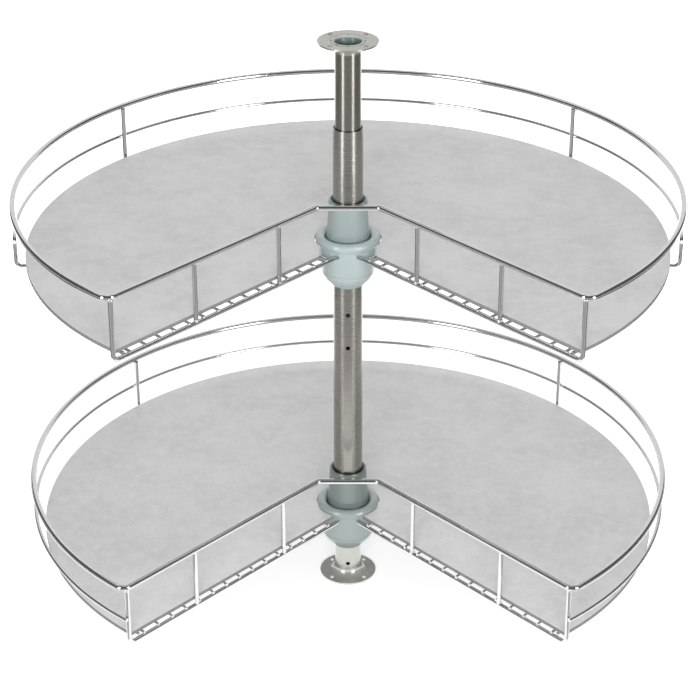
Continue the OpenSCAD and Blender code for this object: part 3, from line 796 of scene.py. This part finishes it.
# %% Paths of the floor wires
PITCH = 20.0
HUB_ARC_R = 45.0
FRONT_WIRES = 15
SPINE_GAP = 0.15
SPINE_START = 26.3
FLOOR_Z = WIRE_D / 2 + FLOOR_D / 2 - WELD
FLOOR_START = UPRIGHT_S - FRONT_WIRES * PITCH


def inner_q(s):
    spine = (FLOOR_D / 2 + SPINE_GAP - s * math.cos(SLOPE)) / math.sin(SLOPE)
    near = abs(s - AXIS_S) < HUB_ARC_R
    return max(spine, reach(s, HUB_ARC_R) - WIRE_D / 4 if near else 0.0)


def floor_paths(z):
    end = -(RIM_R + VERTEX_Y) * math.sin(SLOPE) + PITCH / 2
    places = [(FLOOR_START + i * PITCH, -WIRE_D / 4) for i in range(FRONT_WIRES)]
    for i in range(1, int((FLOOR_START - end) // PITCH) + 1):
        s = FLOOR_START - i * PITCH
        places.append((s, inner_q(s)))
    return [
        [at_edge(s, q, z + FLOOR_Z), at_edge(s, reach(s, RIM_R + MID_D / 4), z + FLOOR_Z)]
        for s, q in places
    ]


def round_under(z, r, q, last=None):
    """An arc about the axis from the line at q, to angle last or to the mirror image."""
    p = at_edge(edge_reach(q, r), q)
    a = math.degrees(math.atan2(p.y, p.x))
    if last is None:
        return arc(Z * z, X, Y, r, a, 180 - a, count=160)
    return arc(Z * z, X, Y, r, a, last, count=40)


for tray, z in TRAYS.items():
    body = tray + "_tray"
    right = floor_paths(z)
    for side, paths in (("right", right), ("left", [mirrored(p) for p in right])):
        name, node = tray + "-floor-wires-" + side, tray + "_floor_wires_" + side
        wires(name, paths, FLOOR_D, body, node, sides=16)
    rim = round_under(z + RIM_Z, RIM_R, WIRE_D / 2 + MID_D / 2 - WELD)
    wires(tray + "-rim-wire", [rim], MID_D, body, tray + "_rim_wire")
    last = 90 - math.degrees((WIRE_D - WELD) / HUB_ARC_R)
    hub = round_under(z, HUB_ARC_R, WIRE_D - WELD, last)
    wires(tray + "-hub-arcs", [hub, mirrored(hub)], WIRE_D, body, tray + "_hub_arcs")
    spine = [Vector((0, SPINE_START, z)), Vector((0, RIM_R - MID_D / 2 + WELD, z))]
    wires(tray + "-spine-wire", [spine], WIRE_D, body, tray + "_spine_wire")
    print(tray, "floor:", len(right), "wires a side")


# %% [markdown]
# ### Welds
# Where two wires meet, the welding machine squeezes out a small bead. A tree puts a
# round bead at each meeting point listed below, on the uprights and at the ends of the
# front floor wires, and makes each one a little wider or flatter than the next, from a
# fixed seed.

# %% The tree that sets the welds
WELD_TREE, gin, gout = geometry_tree(
    "set welds",
    [
        ("Bead Radius", NUMBER, 0.0025),
        ("Seed", WHOLE, 7),
        ("Finish", MATERIAL, None),
    ],
)
bead = add(WELD_TREE, "GeometryNodeMeshIcoSphere")
spread = add(WELD_TREE, "FunctionNodeRandomValue", data_type="FLOAT_VECTOR")
set_down = add(WELD_TREE, "GeometryNodeInstanceOnPoints")
real = add(WELD_TREE, "GeometryNodeRealizeInstances")
smooth = add(WELD_TREE, "GeometryNodeSetShadeSmooth")
finish = add(WELD_TREE, "GeometryNodeSetMaterial")
bead.inputs["Subdivisions"].default_value = 3
spread.inputs[0].default_value = (0.9, 0.9, 0.75)
spread.inputs[1].default_value = (1.2, 1.2, 1.05)
chain(WELD_TREE, gin, set_down, real, smooth, finish, gout)
join(WELD_TREE, gin.outputs["Bead Radius"], bead.inputs["Radius"])
join(WELD_TREE, gin.outputs["Seed"], spread.inputs["Seed"])
join(WELD_TREE, bead.outputs["Mesh"], set_down.inputs["Instance"])
join(WELD_TREE, spread.outputs[0], set_down.inputs["Scale"])
join(WELD_TREE, gin.outputs["Finish"], finish.inputs["Material"])
print("tree made:", WELD_TREE.name)


# %% Beads on the uprights, the back rails and the floor wires
UPRIGHT_BEAD, FLOOR_BEAD = 2.7, 1.8
BEAD_LIFT = 0.4


def upright_welds(z, first, mid_r):
    feet = (first, SECOND_UPRIGHT)
    right = [at_edge(UPRIGHT_S - d, 0, z + TOP_END) for d in (0.0, *feet)]
    right += [at_edge(UPRIGHT_S - d, 0, z + WIRE_D / 2) for d in feet]
    back = []
    for u in BACK_WAYS:
        contact = u * (mid_r - UPRIGHT_IN + WIRE_D / 2)
        back += [contact + Z * (z + MID_H), contact + Z * (z + RAIL_H - RAIL_D / 2)]
    return right + mirrored(right) + back


def floor_welds(z):
    lift = z + WIRE_D / 2 + BEAD_LIFT
    right = [at_edge(FLOOR_START + i * PITCH, 0, lift) for i in range(FRONT_WIRES)]
    return right + mirrored(right)


for tray, z in TRAYS.items():
    for part, spots, r in (
        ("-upright-welds", upright_welds(z, FIRST_UPRIGHT[tray], MID_R[tray]), UPRIGHT_BEAD),
        ("-floor-welds", floor_welds(z), FLOOR_BEAD),
    ):
        points = bpy.data.meshes.new("spots")
        points.from_pydata([p * MM for p in spots], [], [])
        settings = {"Bead Radius": r * MM, "Seed": 7, "Finish": WELD_CHROME}
        o = grown(tray + part, points, WELD_TREE, settings)
        tidy_normals(o)
        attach(o, tray + "_tray")
        print(o.name, len(spots), "beads")


# %% [markdown]
# ### Tray boards
# A board is a flat disc with a V cut out of its front and a hole for the hub. Its
# outline is one loop: round the rim, in along the left edge of the V, back round the
# hub and out along the right edge. The upper board closes in to a narrow mouth in front
# of the hub. Geometry Nodes fills the loop, gives the sheet its thickness and paints
# the sides with the edge finish. Filling flattens a curve onto the ground, so the tree
# lifts the board to its height afterwards.

# %% The board tree
BOARD_TREE, gin, gout = geometry_tree(
    "cut a board",
    [
        ("Height", NUMBER, 0.0),
        ("Thickness", NUMBER, 0.004),
        ("Face Finish", MATERIAL, None),
        ("Edge Finish", MATERIAL, None),
    ],
)
loops = add(BOARD_TREE, "GeometryNodeMeshToCurve")
fill = add(BOARD_TREE, "GeometryNodeFillCurve", mode="NGONS")
rise = add(BOARD_TREE, "GeometryNodeExtrudeMesh", mode="FACES")
lift = add(BOARD_TREE, "ShaderNodeCombineXYZ")
place = add(BOARD_TREE, "GeometryNodeTransform")
height = add(BOARD_TREE, "ShaderNodeCombineXYZ")
under = add(BOARD_TREE, "GeometryNodeFlipFaces")
whole = add(BOARD_TREE, "GeometryNodeJoinGeometry")
weld_up = add(BOARD_TREE, "GeometryNodeMergeByDistance")
face_finish = add(BOARD_TREE, "GeometryNodeSetMaterial")
edge_finish = add(BOARD_TREE, "GeometryNodeSetMaterial")
real = add(BOARD_TREE, "GeometryNodeRealizeInstances")
rise.inputs["Individual"].default_value = False
rise.inputs["Offset Scale"].default_value = 1.0
weld_up.inputs["Distance"].default_value = 0.00001
chain(BOARD_TREE, gin, loops, fill, rise)
chain(BOARD_TREE, fill, under, whole)
chain(BOARD_TREE, rise, whole)
chain(BOARD_TREE, whole, place, weld_up, real, face_finish, edge_finish, gout)
join(BOARD_TREE, gin.outputs["Thickness"], lift.inputs["Z"])
join(BOARD_TREE, lift.outputs["Vector"], rise.inputs["Offset"])
join(BOARD_TREE, gin.outputs["Height"], height.inputs["Z"])
join(BOARD_TREE, height.outputs["Vector"], place.inputs["Translation"])
join(BOARD_TREE, gin.outputs["Face Finish"], face_finish.inputs["Material"])
upright = add(BOARD_TREE, "GeometryNodeInputNormal")
split = add(BOARD_TREE, "ShaderNodeSeparateXYZ")
steep = add(BOARD_TREE, "ShaderNodeMath", operation="ABSOLUTE")
is_side = add(BOARD_TREE, "FunctionNodeCompare", operation="LESS_THAN", data_type="FLOAT")
is_side.inputs["B"].default_value = 0.5
join(BOARD_TREE, upright.outputs["Normal"], split.inputs["Vector"])
join(BOARD_TREE, split.outputs["Z"], steep.inputs[0])
join(BOARD_TREE, steep.outputs[0], is_side.inputs["A"])
join(BOARD_TREE, is_side.outputs["Result"], edge_finish.inputs["Selection"])
join(BOARD_TREE, gin.outputs["Edge Finish"], edge_finish.inputs["Material"])
print("tree made:", BOARD_TREE.name)

# %% Outline of a board
EDGE_GAP = 0.5
BOARD_Q = WIRE_D / 2 + EDGE_GAP
HUB_HOLE_R = 35.8
MOUTH_HALF = {"upper": 30.0, "lower": 0.0}
BOARD_Z = FLOOR_Z + FLOOR_D / 2


def on_edge_at(r):
    """Angle at which the board's front edge meets a circle of radius r."""
    p = at_edge(edge_reach(BOARD_Q, r), BOARD_Q)
    return math.degrees(math.atan2(p.y, p.x))


def board_outline(mouth):
    """The loop round a board. A mouth is given as half its width, none as zero."""
    outer, inner = on_edge_at(BOARD_R), on_edge_at(HUB_HOLE_R)
    centre = Vector((0, 0, 0))
    rim = arc(centre, X, Y, BOARD_R, outer, 180 - outer, count=260)
    if not mouth:
        return rim + arc(centre, X, Y, HUB_HOLE_R, 180 - inner, inner, count=80)
    lip = at_edge((mouth - INWARD.x * BOARD_Q) / ALONG.x, BOARD_Q)
    inner = -math.degrees(math.acos(mouth / HUB_HOLE_R))
    hole = arc(centre, X, Y, HUB_HOLE_R, 180 - inner, inner, count=80)
    return rim + mirrored([lip]) + hole + [lip]


for tray, z in TRAYS.items():
    o = grown(
        tray + "-board",
        path_mesh([board_outline(MOUTH_HALF[tray])], closed=True),
        BOARD_TREE,
        {
            "Height": (z + BOARD_Z) * MM,
            "Thickness": BOARD_T * MM,
            "Face Finish": BOARD,
            "Edge Finish": SHADED_BOARD_EDGE,
        },
    )
    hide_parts(tray + "_board")
    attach(o, tray + "_tray")
    print(o.name, len(o.data.polygons), "faces", [m.name for m in o.data.materials])


# %% [markdown]
# ### Hub rings and mouth bush
# These are turned again with rounder forms. The hub ring has a fat roll that stands
# above the board, over a narrower neck. The bush in the top flange is a wide bowl with
# a scalloped crown, its outline drawn from half a millimetre above the model's. Both
# are closed outlines of radius and height, in millimetres, swung once round the post.

# %% Turned plastic
TURN_STEPS = 128
CROWN_R, BITE = 15.4, 0.75


def turned(name, outline, z, material, node, body, notches=0):
    """Swings an outline round the axis. Notches bite into what is beyond the crown."""
    bm = bmesh.new()
    turns = []
    for i in range(TURN_STEPS):
        a = math.tau * i / TURN_STEPS
        bite = BITE * max(0.0, math.cos(notches * a)) ** 3 if notches else 0.0
        turn = []
        for r, h in outline:
            r -= bite * max(0.0, r - CROWN_R)
            turn.append(bm.verts.new(Vector((r * math.cos(a), r * math.sin(a), z + h)) * MM))
        turns.append(turn)
    for a, b in zip(turns, turns[1:] + turns[:1]):
        for k in range(-1, len(outline) - 1):
            bm.faces.new((a[k], b[k], b[k + 1], a[k + 1])).smooth = True
    bmesh.ops.remove_doubles(bm, verts=bm.verts, dist=1e-7)
    mesh = bpy.data.meshes.new(name)
    bm.to_mesh(mesh)
    bm.free()
    mesh.materials.append(material)
    o = bpy.data.objects.new(name, mesh)
    scene.collection.objects.link(o)
    tidy_normals(o)
    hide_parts(node)
    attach(o, body)


def roll(r, h, size, a1, a2, count):
    """Points of a round about (r, h), from angle a1 to a2 in degrees."""
    turn = [math.radians(a1 + (a2 - a1) * i / count) for i in range(count + 1)]
    return [(r + size * math.cos(a), h + size * math.sin(a)) for a in turn]


BOWL_LIFT = 0.5
RING = [(20.3, 2.6), (20.3, 7.5), (23.3, 7.5), (23.3, 9.3)]
RING += roll(29.5, 9.3, size=5.5, a1=165, a2=-62, count=28)
RING += [(32.0, 3.2), (32.0, -6.5), (31.35, -6.5), (31.35, 2.6)]
BOWL = [(0.0, -24.0), (12.95, -24.0), (12.95, -9.0)]
BOWL += roll(22.0, -9.0, size=9.03, a1=178, a2=116, count=12)
BOWL += [(18.0, -0.5), (17.0, -0.1), (CROWN_R, -0.1), (14.6, -0.7), (13.6, -3.0)]
BOWL += [(12.4, -7.5), (11.4, -13.0), (11.2, -21.5), (0.0, -21.5)]
for tray, z in TRAYS.items():
    body, node = tray + "_tray", tray + "_hub_ring"
    turned(tray + "-hub-ring", RING, z, HUB[tray], node, body)
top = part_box("mouth_bush")[1].z / MM + BOWL_LIFT
turned(
    "mouth-bush-bowl", BOWL, top, BUSH, "mouth_bush", "ceiling_end", notches=8
)
print("turned: two hub rings, one mouth bush, top at", round(top, 1), "mm")


# %% [markdown]
# ## Finishes on the pieces that keep their shape
# The other turned and moulded parts come from the model as they are, and only their
# finish is set. The lower hub and sleeve are painted a little darker than the upper
# ones, as painted shade under the upper tray.

# %% Dress the turned parts
KEPT = {
    "floor_flange": FOOT_STEEL,
    "ceiling_flange": PRESSED_STEEL,
    "foot_tube": FOOT_TUBE_SHADED_STEEL,
    "main_tube": POST_STEEL,
    "ceiling_tube": TOP_STEEL,
    "guide_bush": DARK,
    "tube_end_guide": DARK,
}
for tray in TRAYS:
    for part in ("stop_collar", "socket"):
        KEPT[tray + "_" + part] = HUB[tray]
    KEPT[tray + "_sleeve"] = SLEEVE[tray]
    KEPT[tray + "_ball_cage"] = DARK
    for part in ("stop_screw", "fixed_race", "turning_race", "balls", "hub_plate"):
        KEPT[tray + "_" + part] = ZINC
for node, material in KEPT.items():
    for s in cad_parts[node].material_slots:
        s.material = material
print("kept as modelled:", len(KEPT), "pieces")


# %% [markdown]
# ## Studio
# The picture was taken on white with soft light from the front and both sides. Two
# upright soft boxes left and right of the camera draw the two bright bands on the
# post. The world is white to the camera, and to glossy and clear surfaces, so that
# chrome shows the same white as the background. It lights the object less than that.

# %% White world
AMBIENT = 0.45


def white_world():
    w = bpy.data.worlds.new("studio white")
    w.use_nodes = True
    nt = w.node_tree
    nt.nodes.clear()
    out = add(nt, "ShaderNodeOutputWorld")
    ambient = add(nt, "ShaderNodeBackground")
    shown = add(nt, "ShaderNodeBackground")
    ambient.inputs["Color"].default_value = (1, 1, 1, 1)
    ambient.inputs["Strength"].default_value = AMBIENT
    shown.inputs["Color"].default_value = (1, 1, 1, 1)
    shown.inputs["Strength"].default_value = 1.0
    ray = add(nt, "ShaderNodeLightPath")
    either = maths(nt, "MAXIMUM", ray.outputs["Is Camera Ray"], ray.outputs["Is Glossy Ray"])
    seen = maths(nt, "MAXIMUM", either, ray.outputs["Is Transmission Ray"])
    pick = add(nt, "ShaderNodeMixShader")
    join(nt, seen, pick.inputs[0])
    join(nt, ambient.outputs[0], pick.inputs[1])
    join(nt, shown.outputs[0], pick.inputs[2])
    join(nt, pick.outputs[0], out.inputs["Surface"])
    scene.world = w
    return w


print("world:", white_world().name)


# %% [markdown]
# The floor is pale and keeps a faint shadow under the trays. Further out it glows to
# the camera like the white background, so that no horizon shows. Metal sees it bright
# all over. It stays dark inside the foot, where no light reaches it.

# %% Pale floor
NEAR_GLOW, GLOW_FROM, GLOW_TO = 0.50, 0.6, 1.8
METAL_GLOW = 0.95
FOOT_HOLE_R = 0.023
FLOOR_DROP = 0.0005


def pale_floor():
    m, nt, s = new_material("studio floor")
    s.inputs["Base Color"].default_value = (0.78, 0.78, 0.78, 1)
    s.inputs["Roughness"].default_value = 0.9
    s.inputs["Specular IOR Level"].default_value = 0.0
    away = add(nt, "ShaderNodeVectorMath", operation="LENGTH")
    join(nt, coords(nt), away.inputs[0])
    ray = add(nt, "ShaderNodeLightPath")
    glow = to_range(nt, away.outputs["Value"], NEAR_GLOW, 1.0, GLOW_FROM, GLOW_TO)
    shown = maths(nt, "MULTIPLY", ray.outputs["Is Camera Ray"], glow)
    in_metal = maths(nt, "MULTIPLY", ray.outputs["Is Glossy Ray"], METAL_GLOW)
    either = maths(nt, "MAXIMUM", shown, in_metal)
    seen = maths(nt, "MAXIMUM", either, ray.outputs["Is Transmission Ray"])
    clear = maths(nt, "GREATER_THAN", away.outputs["Value"], FOOT_HOLE_R)
    lit = maths(nt, "MULTIPLY", seen, clear)
    s.inputs["Emission Color"].default_value = (1, 1, 1, 1)
    join(nt, lit, s.inputs["Emission Strength"])
    mesh = bpy.data.meshes.new("floor")
    bm = bmesh.new()
    bmesh.ops.create_grid(bm, x_segments=1, y_segments=1, size=8.0)
    bm.to_mesh(mesh)
    bm.free()
    mesh.materials.append(m)
    o = bpy.data.objects.new("studio-floor", mesh)
    scene.collection.objects.link(o)
    o.location.z = cad_low.z - FLOOR_DROP
    return o


print("floor:", pale_floor().name)


# %% [markdown]
# Chrome only looks like chrome when it has something dark to mirror. In a studio those
# are cloths. Here they are shells that only glossy rays see: a dark one round the
# object, open behind it, so that the back rails mirror white and the front rails get a
# dark core with a light lower edge. Paler ones lie on the table at the front and sides,
# and set how light the middle and the sides of the post are.

# %% Dark cloths for the chrome
DOME_R = 3.2
DOWN, ROUND = 12, 24
BLACK = 0.13
SIDE_TABLE, MID_TABLE, FRONT_TABLE = 0.26, 0.70, 0.48


def cloth_piece(name, rows, level):
    """A cloth that only glossy rays see. Rows are lists of points in metres."""
    m, nt, s = new_material(name)
    nt.nodes.remove(s)
    glow = add(nt, "ShaderNodeEmission")
    glow.inputs["Color"].default_value = (level, level, level, 1)
    join(nt, glow.outputs[0], nt.nodes["Material Output"].inputs["Surface"])
    bm = bmesh.new()
    grid = [[bm.verts.new(p) for p in row] for row in rows]
    for a, b in zip(grid, grid[1:]):
        for k in range(len(a) - 1):
            bm.faces.new((a[k], b[k], b[k + 1], a[k + 1]))
    mesh = bpy.data.meshes.new(name)
    bm.to_mesh(mesh)
    bm.free()
    mesh.materials.append(m)
    o = bpy.data.objects.new(name, mesh)
    scene.collection.objects.link(o)
    o.visible_camera = o.visible_diffuse = o.visible_shadow = o.visible_transmission = False


def way_to(azimuth, elevation):
    """Unit vector seen at an azimuth from the front and an elevation, in degrees."""
    a, e = math.radians(azimuth), math.radians(elevation)
    return Vector((math.sin(a) * math.cos(e), -math.cos(a) * math.cos(e), math.sin(e)))


def steps(low, high, count):
    return [low + (high - low) * i / count for i in range(count + 1)]


def dark_cloth(name, from_az, to_az, from_el, to_el, level):
    rises, turns = steps(from_el, to_el, DOWN), steps(from_az, to_az, ROUND)
    cloth_piece(name, [[way_to(a, e) * DOME_R for e in rises] for a in turns], level)


def table_cloth(name, from_az, to_az, near, far, level):
    reaches, turns = steps(near, far, DOWN), steps(from_az, to_az, ROUND)
    cloth_piece(name, [[way_to(a, 0) * r for r in reaches] for a in turns], level)


dark_cloth("cloth-round", -140, 140, from_el=5, to_el=50, level=BLACK)
dark_cloth("cloth-above", -100, 100, from_el=50, to_el=78, level=BLACK)
for name, from_az, to_az, near, level in (
    ("cloth-on-table", -30, 30, 0.44, FRONT_TABLE),
    ("cloth-between-left", -56, -30, 0.44, MID_TABLE),
    ("cloth-between-right", 30, 56, 0.44, MID_TABLE),
    ("cloth-left", -125, -56, 0.6, SIDE_TABLE),
    ("cloth-right", 56, 125, 0.6, SIDE_TABLE),
):
    table_cloth(name, from_az, to_az, near, 3.0, level)
print("dark cloths hung")


# %% [markdown]
# The lamps are large and soft. The two tall boxes left and right of the camera are
# only mirrored: metal and glossy plastic show them, and they light nothing. The others
# only light, and glossy rays don't see them. The fills in front and behind stand low,
# so that the lower tray gets as much light as the upper one.

# %% Soft boxes
AIM = Vector((0, 0, 0.25))


def soft_box(name, azimuth, elevation, distance, width, height, power, in_metal=False):
    light = bpy.data.lights.new(name, "AREA")
    light.shape = "RECTANGLE"
    light.size, light.size_y = width, height
    light.energy = power
    o = bpy.data.objects.new(name, light)
    scene.collection.objects.link(o)
    way = way_to(azimuth, elevation)
    o.location = AIM + way * distance
    o.rotation_euler = (-way).to_track_quat("-Z", "Y").to_euler()
    o.visible_glossy = in_metal
    o.visible_diffuse = not in_metal


soft_box("top light", 0, 80, distance=2.6, width=2.0, height=2.0, power=8)
soft_box("front fill", 0, 18, distance=2.6, width=1.6, height=0.7, power=56)
soft_box("back fill", 180, 20, distance=2.6, width=1.8, height=0.9, power=44)
for name, azimuth in (("left box", -43), ("right box", 43)):
    soft_box(name, azimuth, 10, distance=2.2, width=0.6, height=2.2, power=44, in_metal=True)
print("lamps:", len(bpy.data.lights))


# %% [markdown]
# ## Camera
# The picture looks down on the trays from the front by about 28 degrees. The distance
# comes from how much smaller the far side of a tray looks than the near side. The
# picture was straightened so that upright lines stay parallel. The camera has no shift,
# so the upper tray comes out a little wider here and the lower one a little narrower.

# %% Camera
FOCAL_PX, FRAME_PX = 2140.0, 696
LOOK_DOWN = 27.63
camera = bpy.data.cameras.new("camera")
camera.sensor_width = 36.0
camera.lens = FOCAL_PX / FRAME_PX * camera.sensor_width
eye = bpy.data.objects.new("camera", camera)
scene.collection.objects.link(eye)
eye.location = (0, -2.082, 1.380)
eye.rotation_euler = (math.radians(90 - LOOK_DOWN), 0, 0)
scene.camera = eye
scene.view_settings.view_transform = "Standard"
print("camera lens", round(camera.lens, 1), "mm")
